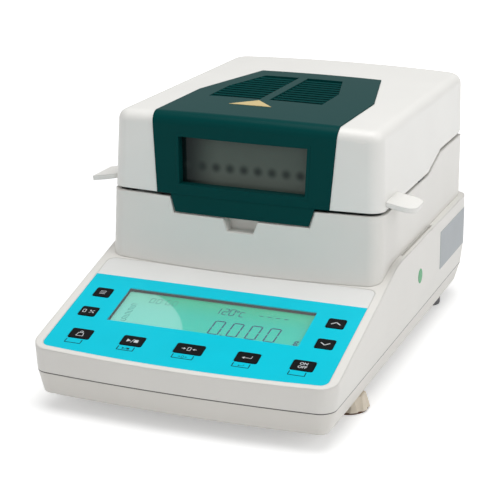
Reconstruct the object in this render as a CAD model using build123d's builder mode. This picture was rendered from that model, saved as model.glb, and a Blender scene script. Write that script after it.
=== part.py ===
from build123d import *
from math import cos, radians, sin, tan
import os

os.makedirs("parts", exist_ok=True)

# Moisture analyzer: a wedge-fronted case with a heating tower and a hinged lid.
# Millimetres. X to the right, Y to the rear, Z up, origin on the bench under the middle.

# Case outline
case_width = 214.0
case_depth = 371.0
front_bow = 4.8
front_corner_r = 12.0
rear_corner_r = 14.0
wall = 3.0
case_bottom = 11.5
parting_z = 28.0
crease_z = 43.7
ledge_z = 85.2
belt_inset = 1.5
bottom_taper = 15.0
front_y = -case_depth / 2
rear_y = case_depth / 2

# Sloped control panel
panel_slope = 15.1
panel_y = front_y + 4.3
panel_z = 45.0
panel_bend_r = 90.0
overlay_width = 200.8
overlay_length = 118.1
overlay_bow = 4.5
overlay_corner_r = 5.5
overlay_thick = 0.8
overlay_recess = 0.9
trim_gap = 0.15
window_width = 137.8
window_low = 42.0
window_high = 83.0
window_sink = 2.7

# Keys on the panel
key_height = 11.0
key_corner_r = 1.6
key_gap = 0.3
key_proud = 0.3
key_travel = 0.4
key_stem_r = 2.2
key_stem_gap = 0.4
key_row_s = 22.0
side_key_x = 85.4
side_key_width = 12.4
end_key_x = 79.0
end_key_width = 15.5
mid_key_x = 40.8
mid_key_width = 15.8
centre_key_width = 20.0
upper_side_key_s = 72.9
lower_side_key_s = 48.5

board_low_s = 16.0
board_high_s = 96.0

# Heating tower
tower_width = 203.5
tower_top_width = 201.0
tower_front_y = front_y + 116.3
tower_front_bow = 5.0
tower_corner_r = 11.0
lid_gap = 2.2
lid_low_z = 128.1
lid_high_z = 138.0
step_start_y = rear_y - 117.7
step_end_y = rear_y - 80.1
tower_rear_y = rear_y - 1.0
tongue_recess = 2.0
tongue_thick = 1.0
notch_width = 26.5
notch_height = 9.8
notch_depth = 12.0
notch_taper = 3.5
pocket_wall = 2.0
slot_start_y = tower_front_y + 58.2
slot_end_y = slot_start_y + 85.0
slot_width = 1.8
slot_depth = 2.5

# Lid
lid_front_y = tower_front_y + 2.8
lid_width = 200.6
lid_top_width = 195.5
lid_top_z = 184.2
lid_crown = 2.3
lid_top_r = 8.0
lid_wall = 3.0
hinge_y = rear_y - 5.5
hinge_z = lid_high_z + 1.0
barrel_r = 5.5
barrel_wall = 2.6
hinge_pin_r = 2.0
running_gap = 0.05
ear_x = 62.0
ear_width = 10.0
ear_r = 4.8
ear_side_gap = 0.6

# Coloured insert of the lid
insert_proud = 0.6
insert_seat = 1.9
insert_half = 68.0
insert_low_z = 127.6
insert_low_half = 63.9
tongue_set_back = 0.2
insert_rear_half = 48.8
insert_bend_y = lid_front_y + 91.4
insert_rear_y = lid_front_y + 178.4
tongue_top_half = 53.7
tongue_low_half = 49.8
tongue_low_z = 115.3
insert_frame = 4.0
view_half = 46.5
view_low_z = 136.0
view_high_z = 170.0
surround_wall = 2.2
surround_depth = 7.5
window_thick = 3.0
vent_x = -7.5
vent_rib = 7.0
vent_half = 43.5
vent_front_y = lid_front_y + 67.4
vent_bend_y = vent_front_y + 41.0
vent_rear_y = vent_front_y + 90.0
vent_rear_half = 31.5
slat_pitch = 8.1
slat_thick = 1.6
slat_tilt = 32.0

triangle_x = vent_x - 2.5
triangle_half = 16.0
triangle_height = 19.0
triangle_y = vent_front_y - 24.0

buffer_x = lid_width / 2 - 1.6
buffer_front_y = lid_front_y + 36.4
buffer_rear_y = step_start_y - 17.8

# Lift tabs
tab_y = lid_front_y + 30.4
tab_z = 134.6
tab_length = 31.0
tab_reach = 21.5
tab_thick = 3.4
tab_tilt = 10.0

# Weighing chamber
chamber_y = tower_front_y + 114.2
well_half = 72.0
well_corner_r = 20.0
well_floor_z = 92.0
deck_z = 118.0
sheet = 1.2
pan_r = 50.0
pan_floor_r = 43.0
pan_z = 103.0
ring_r = 56.0
ring_height = 13.6
seat_gap = 0.3
support_arm_r = 40.0
stem_r = 3.0
cell_top_z = 62.0
deck_front_y = tower_front_y + 3.2
deck_rear_y = tower_rear_y - 4.5
shaft_front_y = chamber_y - 88.0
shaft_rear_y = rear_y - 28.5

# Screw pillars that join the two case halves
pillar_x = 88.0
pillar_front_y = front_y + 13.5
pillar_rear_y = rear_y - 19.5
pillar_r = 4.5
screw_r = 1.5
screw_head_r = 2.8

# Feet
foot_x = 90.0
foot_y = front_y + 88.5
foot_r = 16.5
foot_top_r = 13.2
foot_lobes = 10
pad_thick = 1.6
stud_r = 4.0
foot_gap = 0.3
rear_foot_x = 86.0
rear_foot_y = rear_y - 43.5
rear_foot_r = 11.0

# Rear sockets and the power rocker
socket_z = 55.0
socket_gap = 0.2
inlet_x = 60.0
inlet_width = 28.0
inlet_height = 48.0
inlet_depth = 24.0
rocker_x = 22.0
rocker_width = 13.0
rocker_height = 19.0
rocker_tilt = 8.0
data_x = -50.0
data_width = 19.6
data_height = 10.0

# Boards and transformer on the tray
main_board_y = front_y + 73.5
power_board_y = rear_y - 80.5
transformer_y = rear_y - 63.5

panel = Plane(
    origin=(0, panel_y, panel_z),
    x_dir=(1, 0, 0),
    z_dir=(0, -sin(radians(panel_slope)), cos(radians(panel_slope))),
)


def save(piece, name):
    """Label a finished piece and write it as its own file."""
    piece.part.label = name
    export_step(piece.part, f"parts/{name}.step")


def bowed_outline(z, width, y_front, y_rear, bow, front_r, rear_r):
    """Plan outline with a bowed front and rounded corners, on a level plane."""
    half = width / 2
    with BuildSketch(Plane.XY.offset(z)) as outline:
        with BuildLine():
            ThreePointArc((-half, y_front + bow), (0, y_front), (half, y_front + bow))
            Polyline((half, y_front + bow), (half, y_rear), (-half, y_rear), (-half, y_front + bow))
        make_face()
        fillet(outline.vertices().group_by(Axis.Y)[-1], rear_r)
        fillet(outline.vertices().group_by(Axis.Y)[0], front_r)
    return outline.sketch


def case_outline(z, inset, off):
    """Case outline at a height, taken in by its draft and by a wall."""
    return bowed_outline(
        z, case_width - 2 * (inset + off), front_y + off, rear_y - off,
        front_bow, front_corner_r - off * 0.7, rear_corner_r - off * 0.7,
    )


def side_cut(points, half_width):
    """Prism of a side-view outline, across the whole width."""
    with BuildPart() as cut:
        with BuildSketch(Plane.YZ):
            with BuildLine():
                Polyline(*points, close=True)
            make_face()
        extrude(amount=half_width, both=True)
    return cut.part


def above_case(drop):
    """Everything above the case's sloped panel and level ledge, lowered by a wall."""
    slope = tan(radians(panel_slope))
    z_front = panel_z - drop / cos(radians(panel_slope)) - slope * 20
    y_start = panel_y - 20
    z_ledge = ledge_z - drop
    y_meet = y_start + (z_ledge - z_front) / slope
    with BuildPart() as cut:
        with BuildSketch(Plane.YZ) as profile:
            with BuildLine():
                Polyline(
                    (y_start, z_front), (y_meet, z_ledge), (rear_y + 20, z_ledge),
                    (rear_y + 20, ledge_z + 80), (y_start, ledge_z + 80), close=True,
                )
            make_face()
            bend = profile.vertices().sort_by_distance((0, y_meet, z_ledge))[0]
            fillet(bend, panel_bend_r)
        extrude(amount=case_width, both=True)
    return cut.part


def case_block(off):
    """Upper case as a solid, taken in by a wall all round except underneath."""
    with BuildPart() as block:
        add(case_outline(parting_z, belt_inset, off))
        add(case_outline(crease_z, 0, off))
        loft(ruled=True)
        add(case_outline(crease_z, 0, off))
        add(case_outline(ledge_z + 5, belt_inset * 0.6, off))
        loft(ruled=True)
        add(above_case(off), mode=Mode.SUBTRACT)
    return block.part


def panel_outline(off):
    """Outline of the control panel film, taken in by a margin."""
    half = overlay_width / 2 - off
    low = off
    high = overlay_length - off
    with BuildSketch() as film:
        with BuildLine():
            ThreePointArc((-half, low + overlay_bow), (0, low), (half, low + overlay_bow))
            Polyline((half, low + overlay_bow), (half, high), (-half, high), (-half, low + overlay_bow))
        make_face()
        fillet(film.vertices(), overlay_corner_r - off)
    return film.sketch


def tower_block(off, z_top):
    """Tower body with drafted sides, taken in by a wall."""
    low = bowed_outline(
        60, tower_width - 2 * off, tower_front_y + off, tower_rear_y - off,
        tower_front_bow, tower_corner_r - off * 0.7, rear_corner_r - off * 0.7,
    )
    high = bowed_outline(
        lid_high_z, tower_top_width - 2 * off, lid_front_y + off, tower_rear_y - off,
        tower_front_bow, tower_corner_r - off * 0.7, rear_corner_r - off * 0.7,
    )
    with BuildPart() as block:
        add(low)
        add(high)
        loft(ruled=True)
        with Locations((0, 0, z_top + 50)):
            Box(400, 500, 100, mode=Mode.SUBTRACT)
    return block.part


def lid_block(off):
    """Lid body with drafted walls, crowned top and rounded top edges."""
    grow = -off
    low = bowed_outline(
        lid_low_z, lid_width + 2 * grow, lid_front_y - grow, rear_y + grow,
        tower_front_bow, tower_corner_r + grow * 0.7, rear_corner_r + grow * 0.7,
    )
    high = bowed_outline(
        lid_top_z + 10, lid_top_width + 2 * grow, lid_front_y - grow, rear_y + grow,
        tower_front_bow, tower_corner_r + grow * 0.7, rear_corner_r + grow * 0.7,
    )
    crown_r = ((lid_top_width / 2) ** 2 + lid_crown**2) / (2 * lid_crown)
    with BuildPart() as block:
        add(low)
        add(high)
        loft(ruled=True)
        with BuildSketch(Plane.XZ) as roof:
            with BuildLine():
                edge = lid_top_z - crown_r + (crown_r**2 - 130**2) ** 0.5 + lid_crown + grow
                ThreePointArc((-130, edge), (0, lid_top_z + lid_crown + grow), (130, edge))
                Polyline((130, edge), (130, 260), (-130, 260), (-130, edge))
            make_face()
        extrude(amount=300, both=True, mode=Mode.SUBTRACT)
        fillet(block.faces().sort_by(Axis.Z)[-1].edges(), lid_top_r + grow)
    return block.part


def below_lid(gap):
    """Everything under the lid's stepped lower edge, lowered by a gap."""
    low = lid_low_z - gap
    high = lid_high_z - gap
    return side_cut(
        [
            (front_y, low), (step_start_y, low), (step_end_y, high),
            (rear_y + 20, high), (rear_y + 20, 0), (front_y, 0),
        ],
        160,
    )


def hinge_cylinder(radius, x_low, x_high):
    """Cylinder on the lid's hinge axis between two places across the width."""
    with BuildPart() as rod:
        with BuildSketch(Plane.YZ.offset(x_low)):
            with Locations((hinge_y, hinge_z)):
                Circle(radius)
        extrude(amount=x_high - x_low)
    return rod.part


def ring(z, outer, inner, height, x=0.0, y=0.0):
    """Flat ring standing on a level plane."""
    with BuildPart() as band:
        with BuildSketch(Plane.XY.offset(z)):
            with Locations((x, y)):
                Circle(outer)
                if inner > 0:
                    Circle(inner, mode=Mode.SUBTRACT)
        extrude(amount=height)
    return band.part


def plate(z, x, y, width, depth, height, corner=0.0):
    """Level plate with its middle at a place."""
    with BuildPart() as slab:
        with BuildSketch(Plane.XY.offset(z)):
            with Locations((x, y)):
                if corner > 0:
                    RectangleRounded(width, depth, corner)
                else:
                    Rectangle(width, depth)
        extrude(amount=height)
    return slab.part


def front_prism(points, y_low, y_high):
    """Prism of a front-view outline between two places along the depth."""
    with BuildPart() as prism:
        with BuildSketch(Plane.XZ.offset(-y_high)):
            with BuildLine():
                Polyline(*points, close=True)
            make_face()
        extrude(amount=y_high - y_low)
    return prism.part


def tongue_outline(grow):
    """Front-view outline of the insert's hanging tongue, grown by a margin."""
    return [
        (-tongue_low_half - grow, tongue_low_z - grow), (tongue_low_half + grow, tongue_low_z - grow),
        (tongue_top_half + grow, insert_low_z + 1), (-tongue_top_half - grow, insert_low_z + 1),
    ]


def grown(points, margin):
    """A four-cornered outline about its middle, grown by a margin."""
    middle_x = sum(x for x, z in points) / len(points)
    middle_z = sum(z for x, z in points) / len(points)
    return [
        (x + (margin if x > middle_x else -margin), z + (margin if z > middle_z else -margin))
        for x, z in points
    ]


def front_block(off):
    """Upright block whose front follows the lid's bow below the lid, down to the tongue's foot."""
    outline = bowed_outline(
        tongue_low_z - 2, lid_width - 2 * off, lid_front_y + off, rear_y, tower_front_bow,
        tower_corner_r - off * 0.7, rear_corner_r,
    )
    with BuildPart() as block:
        add(outline)
        extrude(amount=insert_low_z + 1 - tongue_low_z + 2)
    return block.part


# Keys: name, place across, place up the slope, width
keys = {
    "key_menu": (-side_key_x, upper_side_key_s, side_key_width),
    "key_zero": (-side_key_x, lower_side_key_s, side_key_width),
    "key_calibrate": (-end_key_x, key_row_s, end_key_width),
    "key_start_stop": (-mid_key_x, key_row_s, mid_key_width),
    "key_tare": (0.0, key_row_s, centre_key_width),
    "key_enter": (mid_key_x, key_row_s, mid_key_width),
    "key_on_off": (end_key_x, key_row_s, end_key_width),
    "key_up": (side_key_x, upper_side_key_s, side_key_width),
    "key_down": (side_key_x, lower_side_key_s, side_key_width),
}
key_places = [(x, s) for x, s, width in keys.values()]

key_bottom = -overlay_recess
pocket_bottom = key_bottom - key_travel - 0.2
stem_bottom = -wall - 0.4
switch_top = stem_bottom - key_travel - 0.4
board_top = switch_top - 2.2
board_thick = 1.6
lcd_thick = 2.3
bezel_wall = 1.3
window_s = (window_low + window_high) / 2
window_length = window_high - window_low

# Screw pillars of the upper case, as tall as the roof above them
pillar_places = [(x, y) for x in (-pillar_x, pillar_x) for y in (pillar_front_y, pillar_rear_y)]
with BuildPart() as pillar_block:
    with Locations(*[(x, y, parting_z) for x, y in pillar_places]):
        Cylinder(pillar_r, 80, align=(Align.CENTER, Align.CENTER, Align.MIN))
    add(case_block(wall / 2), mode=Mode.INTERSECT)
    with Locations(*[(x, y, parting_z) for x, y in pillar_places]):
        Cylinder(screw_r - 0.2, 10, align=(Align.CENTER, Align.CENTER, Align.MIN), mode=Mode.SUBTRACT)
pillars = pillar_block.part

# Upper case: front apron, sloped panel, side ledges and rear wall
with BuildPart() as upper_case:
    add(case_block(0))
    add(case_block(wall), mode=Mode.SUBTRACT)
    with BuildSketch(panel.offset(-overlay_recess)):
        add(panel_outline(-trim_gap))
    extrude(amount=6, mode=Mode.SUBTRACT)
    with BuildSketch(panel.offset(pocket_bottom)):
        for x, s, width in keys.values():
            with Locations((x, s)):
                RectangleRounded(width + 2 * key_gap, key_height + 2 * key_gap, key_corner_r)
    extrude(amount=2, mode=Mode.SUBTRACT)
    with BuildSketch(panel.offset(-2 * wall)):
        with Locations(*key_places):
            Circle(key_stem_r + key_stem_gap)
        with Locations((0, window_s)):
            Rectangle(window_width + 2 * (bezel_wall + trim_gap), window_length + 2 * (bezel_wall + trim_gap))
    extrude(amount=2 * wall, mode=Mode.SUBTRACT)
    # Opening under the heating tower
    add(
        plate(40, 0, (shaft_front_y + shaft_rear_y) / 2, tower_width - 24, shaft_rear_y - shaft_front_y, 60, 12),
        mode=Mode.SUBTRACT,
    )
    # Long finger groove where the tower meets the right and left ledges
    for side in (-1, 1):
        with Locations((side * (tower_width + slot_width) / 2, (slot_start_y + slot_end_y) / 2, ledge_z)):
            Box(slot_width, slot_end_y - slot_start_y, 2 * slot_depth, mode=Mode.SUBTRACT)
    # Rear openings for the mains inlet, the rocker and the data socket
    with BuildSketch(Plane.XZ.offset(-rear_y - 1)):
        with Locations((inlet_x, socket_z)):
            Rectangle(inlet_width + 2 * socket_gap, inlet_height + 2 * socket_gap)
        with Locations((rocker_x, socket_z)):
            Rectangle(rocker_width + 2 * socket_gap, rocker_height + 2 * socket_gap)
        with Locations((data_x, socket_z)):
            Rectangle(data_width + 2 * socket_gap, data_height + 2 * socket_gap)
    extrude(amount=wall + 4, mode=Mode.SUBTRACT)
    # Screw pillars to the lower case, as tall as the roof above them
    add(pillars)
save(upper_case, "upper_case")

# Lower case: drafted tray with feet bosses, vents and pillars
tray_floor = case_bottom + wall
with BuildPart() as tray_space:
    add(case_outline(parting_z, belt_inset, wall))
    extrude(amount=-(parting_z - tray_floor), taper=bottom_taper)
with BuildPart() as lower_case:
    add(case_outline(parting_z, belt_inset, 0))
    extrude(amount=-(parting_z - case_bottom), taper=bottom_taper)
    fillet(lower_case.faces().sort_by(Axis.Z)[0].edges(), 2.0)
    add(tray_space.part, mode=Mode.SUBTRACT)
    with Locations((-foot_x, foot_y, case_bottom), (foot_x, foot_y, case_bottom)):
        Cylinder(8, 14, align=(Align.CENTER, Align.CENTER, Align.MIN))
        Cylinder(stud_r + 0.3, 40, mode=Mode.SUBTRACT)
    with Locations(*[(x, y, case_bottom) for x, y in pillar_places]):
        Cylinder(pillar_r, parting_z - case_bottom, align=(Align.CENTER, Align.CENTER, Align.MIN))
        Cylinder(screw_r + 0.2, 60, mode=Mode.SUBTRACT)
        Cylinder(screw_head_r + 0.3, 2.6, align=(Align.CENTER, Align.CENTER, Align.MIN), mode=Mode.SUBTRACT)
    # Air slots under the power supply and the control boards
    with Locations((-50, rear_y - 55, case_bottom), (50, front_y + 65, case_bottom)):
        with GridLocations(8, 0, 7, 1):
            Box(3, 44, 20, mode=Mode.SUBTRACT)
    # Ribs that stiffen the tray
    with Locations((0, -60, tray_floor), (0, 10, tray_floor)):
        Box(150, 2, 6, align=(Align.CENTER, Align.CENTER, Align.MIN))
save(lower_case, "lower_case")

# Recess in the tower's front for the insert's tongue, and the finger pocket below it
notch_outline = [
    (-notch_width / 2, tongue_low_z), (notch_width / 2, tongue_low_z),
    (notch_width / 2 - notch_taper, tongue_low_z - notch_height),
    (notch_taper - notch_width / 2, tongue_low_z - notch_height),
]
pocket_rear_y = tower_front_y + notch_depth
with BuildPart() as tongue_space:
    add(front_prism(tongue_outline(1.0), tower_front_y - 20, tower_front_y + 20))
    add(tower_block(tongue_recess, lid_high_z), mode=Mode.SUBTRACT)

# What the case takes up under the tower
with BuildPart() as case_space:
    Box(400, 500, 2 * (ledge_z + 40))
    add(above_case(0), mode=Mode.SUBTRACT)

# Heating tower shell with its notch, tongue recess and hinge ears
pocket_r = barrel_r + 0.7
deck_y = (deck_front_y + deck_rear_y) / 2
deck_length = deck_rear_y - deck_front_y
with BuildPart() as heating_tower:
    add(tower_block(0, lid_high_z))
    add(below_lid(lid_gap), mode=Mode.INTERSECT)
    add(tower_block(wall, lid_high_z), mode=Mode.SUBTRACT)
    # Walls of the finger pocket, inside the front
    add(front_prism(grown(notch_outline, pocket_wall), lid_front_y - 1, pocket_rear_y + pocket_wall))
    # Seat for the chamber deck
    add(plate(deck_z - 4, 0, deck_y, tower_width - 9, deck_length, 4, 8))
    add(plate(deck_z - 5, 0, deck_y, tower_width - 18, deck_length - 14, 6, 6), mode=Mode.SUBTRACT)
    add(tower_block(0, lid_high_z), mode=Mode.INTERSECT)
    # The tower stands on the case's slope and ledge
    add(case_space.part, mode=Mode.SUBTRACT)
    add(tongue_space.part, mode=Mode.SUBTRACT)
    add(front_prism(notch_outline, tower_front_y - 20, pocket_rear_y), mode=Mode.SUBTRACT)
    # Room behind for the lid's hinge barrel, and the ears that carry its pin
    add(hinge_cylinder(pocket_r, -120, 120), mode=Mode.SUBTRACT)
    with Locations((0, hinge_y, hinge_z)):
        Box(240, 2 * pocket_r, 2 * pocket_r, align=(Align.CENTER, Align.CENTER, Align.CENTER), mode=Mode.SUBTRACT)
    for side in (-1, 1):
        with BuildSketch(Plane.YZ.offset(side * ear_x - ear_width / 2)):
            with Locations((hinge_y, hinge_z)):
                Circle(ear_r)
            with Locations((hinge_y - 0.3, (hinge_z + 118) / 2)):
                Rectangle(2 * ear_r - 0.6, hinge_z - 118)
        extrude(amount=ear_width)
    add(hinge_cylinder(hinge_pin_r + running_gap, -120, 120), mode=Mode.SUBTRACT)
save(heating_tower, "heating_tower")

# Lid shell: side walls, crowned roof, hinge barrel at the rear, seat for the insert
top_outline = [
    (-insert_half, lid_front_y - 30), (insert_half, lid_front_y - 30), (insert_half, insert_bend_y),
    (insert_rear_half, insert_rear_y), (-insert_rear_half, insert_rear_y), (-insert_half, insert_bend_y),
]
# The front's edges lean out from the bottom to the bend
insert_lean = (insert_half - insert_low_half) / (lid_top_z - insert_low_z)
front_low_half = insert_low_half - insert_lean * (insert_low_z - 100)
front_high_half = insert_half + insert_lean * (260 - lid_top_z)
front_outline = [
    (-front_low_half, 100), (front_low_half, 100), (front_high_half, 260), (-front_high_half, 260),
]


def insert_region(grow):
    """Space of the insert's outline over the lid's front and roof, grown by a margin."""
    with BuildPart() as region:
        with BuildSketch(Plane.XY.offset(100)):
            with BuildLine():
                Polyline(*top_outline, close=True)
            make_face()
            offset(amount=grow, kind=Kind.INTERSECTION)
        extrude(amount=120)
        with BuildSketch(Plane.XZ.offset(-200)):
            with BuildLine():
                Polyline(*front_outline, close=True)
            make_face()
            offset(amount=grow, kind=Kind.INTERSECTION)
        extrude(amount=400, mode=Mode.INTERSECT)
    return region.part


barrel_half = lid_top_width / 2 - 16
with BuildPart() as insert_ledge:
    add(insert_region(trim_gap))
    add(lid_block(insert_seat + trim_gap), mode=Mode.SUBTRACT)
with BuildPart() as insert_opening:
    add(insert_region(-insert_frame))
    Box(400, 600, 2 * (insert_low_z + insert_frame), mode=Mode.SUBTRACT)
with BuildPart() as lid_shell:
    add(lid_block(0))
    add(lid_block(lid_wall), mode=Mode.SUBTRACT)
    add(below_lid(0), mode=Mode.SUBTRACT)
    # Rear edge rolls round the hinge axis
    with Locations((0, hinge_y + 20, hinge_z - 10)):
        Box(240, 60, 20, mode=Mode.SUBTRACT)
    add(hinge_cylinder(barrel_r, -barrel_half, barrel_half))
    add(hinge_cylinder(barrel_r - barrel_wall, -ear_x + 14, ear_x - 14), mode=Mode.SUBTRACT)
    with Locations((0, hinge_y - 20, hinge_z + 20)):
        Box(2 * ear_x - 28, 40, 40, mode=Mode.SUBTRACT)
    # Room for the case's hinge ears
    with Locations((-ear_x, hinge_y - 4, hinge_z), (ear_x, hinge_y - 4, hinge_z)):
        Box(ear_width + 2 * ear_side_gap, 30, 2 * (ear_r + 1.0), mode=Mode.SUBTRACT)
    add(hinge_cylinder(hinge_pin_r + running_gap, -120, 120), mode=Mode.SUBTRACT)
    # Seat and opening for the insert
    add(insert_ledge.part, mode=Mode.SUBTRACT)
    add(insert_opening.part, mode=Mode.SUBTRACT)
save(lid_shell, "lid_shell")

# Insert of the lid: front panel with its hanging tongue, folded back over the roof, with louvres
view_outline = [
    (-view_half, view_low_z), (view_half, view_low_z), (view_half + 1, view_high_z), (-view_half - 1, view_high_z),
]


def vent_outline(side):
    """Plan outline of one vent field, left or right of the middle rib."""
    inner = vent_x + side * vent_rib / 2
    outer = vent_x + side * vent_half
    rear = vent_x + side * vent_rear_half
    return [
        (inner, vent_front_y), (outer, vent_front_y), (outer, vent_bend_y),
        (rear, vent_rear_y), (inner, vent_rear_y),
    ]


def vent_field(side, z_low, z_high, grow=0.0):
    """Prism of one vent field between two heights."""
    with BuildPart() as field:
        with BuildSketch(Plane.XY.offset(z_low)):
            with BuildLine():
                Polyline(*vent_outline(side), close=True)
            make_face()
            if grow:
                offset(amount=grow, kind=Kind.INTERSECTION)
        extrude(amount=z_high - z_low)
    return field.part


with BuildPart() as vents:
    for side in (-1, 1):
        add(vent_field(side, lid_top_z - 6, lid_top_z + 10, 0.5))

slat_count = int((vent_rear_y - vent_front_y) / slat_pitch)
with BuildPart() as louvres:
    for index in range(slat_count):
        y = vent_front_y + slat_pitch * (index + 0.5)
        with Locations(Location((vent_x, y, lid_top_z - 1.2), (slat_tilt, 0, 0))):
            Box(2 * vent_half + 6, slat_thick, slat_pitch * 0.9)
    add(vents.part, mode=Mode.INTERSECT)

with BuildPart() as lid_insert:
    add(lid_block(-insert_proud))
    add(insert_region(0), mode=Mode.INTERSECT)
    add(lid_block(insert_seat), mode=Mode.SUBTRACT)
    Box(400, 600, 2 * insert_low_z, mode=Mode.SUBTRACT)
    for side in (-1, 1):
        add(vent_field(side, lid_top_z - 20, lid_top_z + 20), mode=Mode.SUBTRACT)
    add(louvres.part)
    # Window surround stands inwards from the front panel
    add(front_prism(grown(view_outline, surround_wall), lid_front_y + 0.4, lid_front_y + surround_depth))
    add(front_prism(view_outline, lid_front_y - 20, lid_front_y + 40), mode=Mode.SUBTRACT)
# The tongue hangs in front of the tower, a hair behind the insert's front
with BuildPart() as tongue:
    add(front_prism(tongue_outline(0), tower_front_y - 20, tower_front_y + 20))
    add(front_block(tongue_set_back - insert_proud), mode=Mode.INTERSECT)
    add(front_block(tongue_thick), mode=Mode.SUBTRACT)
with BuildPart() as insert_whole:
    add(lid_insert.part)
    add(tongue.part)
save(insert_whole, "lid_insert")

# Viewing window: tempered glass behind the surround
glass_y = lid_front_y + surround_depth + 0.1
with BuildPart() as viewing_window:
    add(front_prism(grown(view_outline, surround_wall), glass_y, glass_y + window_thick))
save(viewing_window, "viewing_window")

# Steel frame that holds the glass against the surround
with BuildPart() as window_frame:
    add(front_prism(grown(view_outline, surround_wall + 5), glass_y + window_thick, glass_y + window_thick + sheet))
    add(front_prism(grown(view_outline, -0.5), glass_y - 5, glass_y + 10), mode=Mode.SUBTRACT)
save(window_frame, "window_frame")

# Lift tabs on both sides of the lid
for side, name in ((-1, "lift_tab_left"), (1, "lift_tab_right")):
    tab_plane = Plane(
        origin=(side * (lid_width / 2 - 0.6), tab_y, tab_z),
        x_dir=(side * cos(radians(tab_tilt)), 0, -sin(radians(tab_tilt))),
        z_dir=(side * sin(radians(tab_tilt)), 0, cos(radians(tab_tilt))) if side > 0 else
        (-sin(radians(tab_tilt)), 0, cos(radians(tab_tilt))),
    )
    with BuildPart() as lift_tab:
        with BuildSketch(tab_plane) as wing:
            with Locations((tab_reach / 2, 0)):
                Rectangle(tab_reach, tab_length)
            fillet(wing.vertices().sort_by(Axis.X)[-2:] if side > 0 else wing.vertices().sort_by(Axis.X)[:2], 9)
        extrude(amount=-tab_thick)
        add(lid_block(0), mode=Mode.SUBTRACT)
    save(lift_tab, name)

# Plain amber triangle set on the insert's roof
with BuildPart() as caution_triangle:
    with BuildSketch(Plane.XY.offset(lid_top_z)):
        with BuildLine():
            Polyline(
                (triangle_x - triangle_half, triangle_y), (triangle_x + triangle_half, triangle_y),
                (triangle_x, triangle_y + triangle_height), close=True,
            )
        make_face()
    extrude(amount=12)
    add(lid_block(-insert_proud - 0.25), mode=Mode.INTERSECT)
    add(lid_block(-insert_proud), mode=Mode.SUBTRACT)
save(caution_triangle, "caution_triangle")

# Control panel film with openings for the keys and the display window
with BuildPart() as keypad_overlay:
    with BuildSketch(panel.offset(-overlay_recess)):
        add(panel_outline(0))
        for x, s, width in keys.values():
            with Locations((x, s)):
                RectangleRounded(width + 2 * key_gap, key_height + 2 * key_gap, key_corner_r, mode=Mode.SUBTRACT)
        with Locations((0, window_s)):
            Rectangle(window_width, window_length, mode=Mode.SUBTRACT)
    extrude(amount=overlay_thick)
save(keypad_overlay, "keypad_overlay")

# Clear lens in the film's window
with BuildPart() as display_lens:
    with BuildSketch(panel.offset(-overlay_recess)):
        with Locations((0, window_s)):
            Rectangle(window_width - trim_gap, window_length - trim_gap)
    extrude(amount=overlay_thick - 0.1)
save(display_lens, "display_lens")

# Dark bezel that lines the case's opening down to the display
with BuildPart() as display_bezel:
    with BuildSketch(panel.offset(-window_sink - 0.1)):
        with Locations((0, window_s)):
            Rectangle(window_width + 2 * bezel_wall, window_length + 2 * bezel_wall)
            Rectangle(window_width - 0.6, window_length - 0.6, mode=Mode.SUBTRACT)
    extrude(amount=window_sink - overlay_recess)
save(display_bezel, "display_bezel")

# Display glass and the pressed frame that holds it on the board
with BuildPart() as display_glass:
    with BuildSketch(panel.offset(-window_sink - 0.2 - lcd_thick)):
        with Locations((0, window_s)):
            Rectangle(window_width + bezel_wall, window_length + bezel_wall)
    extrude(amount=lcd_thick)
save(display_glass, "display_glass")

glass_under = -window_sink - 0.2 - lcd_thick
with BuildPart() as display_frame:
    with BuildSketch(panel.offset(board_top)):
        with Locations((0, window_s)):
            Rectangle(window_width + 3, window_length + 3)
            Rectangle(window_width - 4, window_length - 4, mode=Mode.SUBTRACT)
    extrude(amount=glass_under - board_top)
    with BuildSketch(panel.offset(board_top)):
        with Locations((0, window_s)):
            Rectangle(window_width + 6, 12)
            Rectangle(window_width + 1, 14, mode=Mode.SUBTRACT)
    extrude(amount=1.0)
save(display_frame, "display_frame")

# Keypad board with nine push switches
with BuildPart() as keypad_board:
    with BuildSketch(panel.offset(board_top - board_thick)):
        with Locations((0, (board_low_s + board_high_s) / 2)):
            Rectangle(overlay_width - 14, board_high_s - board_low_s)
    extrude(amount=board_thick)
save(keypad_board, "keypad_board")

with BuildPart() as push_switches:
    with BuildSketch(panel.offset(board_top)):
        with Locations(*key_places):
            Rectangle(6, 6)
    extrude(amount=1.6)
    with BuildSketch(panel.offset(board_top)):
        with Locations(*key_places):
            Circle(1.7)
    extrude(amount=switch_top - board_top)
save(push_switches, "push_switches")

# Posts that hang from the panel's roof and carry the keypad board
with BuildPart() as board_posts:
    with BuildSketch(panel.offset(board_top)):
        with Locations(*[(x, s) for x in (-60, 60) for s in (30, 92)]):
            Circle(3)
            Circle(1.2, mode=Mode.SUBTRACT)
    extrude(amount=-wall - board_top)
save(board_posts, "board_posts")

# Keys: an embossed cap with a short stem above its switch
for name, (x, s, width) in keys.items():
    with BuildPart() as key:
        with BuildSketch(panel.offset(key_bottom)):
            with Locations((x, s)):
                RectangleRounded(width, key_height, key_corner_r)
        extrude(amount=key_proud - key_bottom)
        fillet(key.faces().sort_by(Axis.Z)[-1].edges(), 0.25)
        with BuildSketch(panel.offset(stem_bottom)):
            with Locations((x, s)):
                Circle(key_stem_r)
        extrude(amount=key_bottom - stem_bottom)
    save(key, name)

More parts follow.
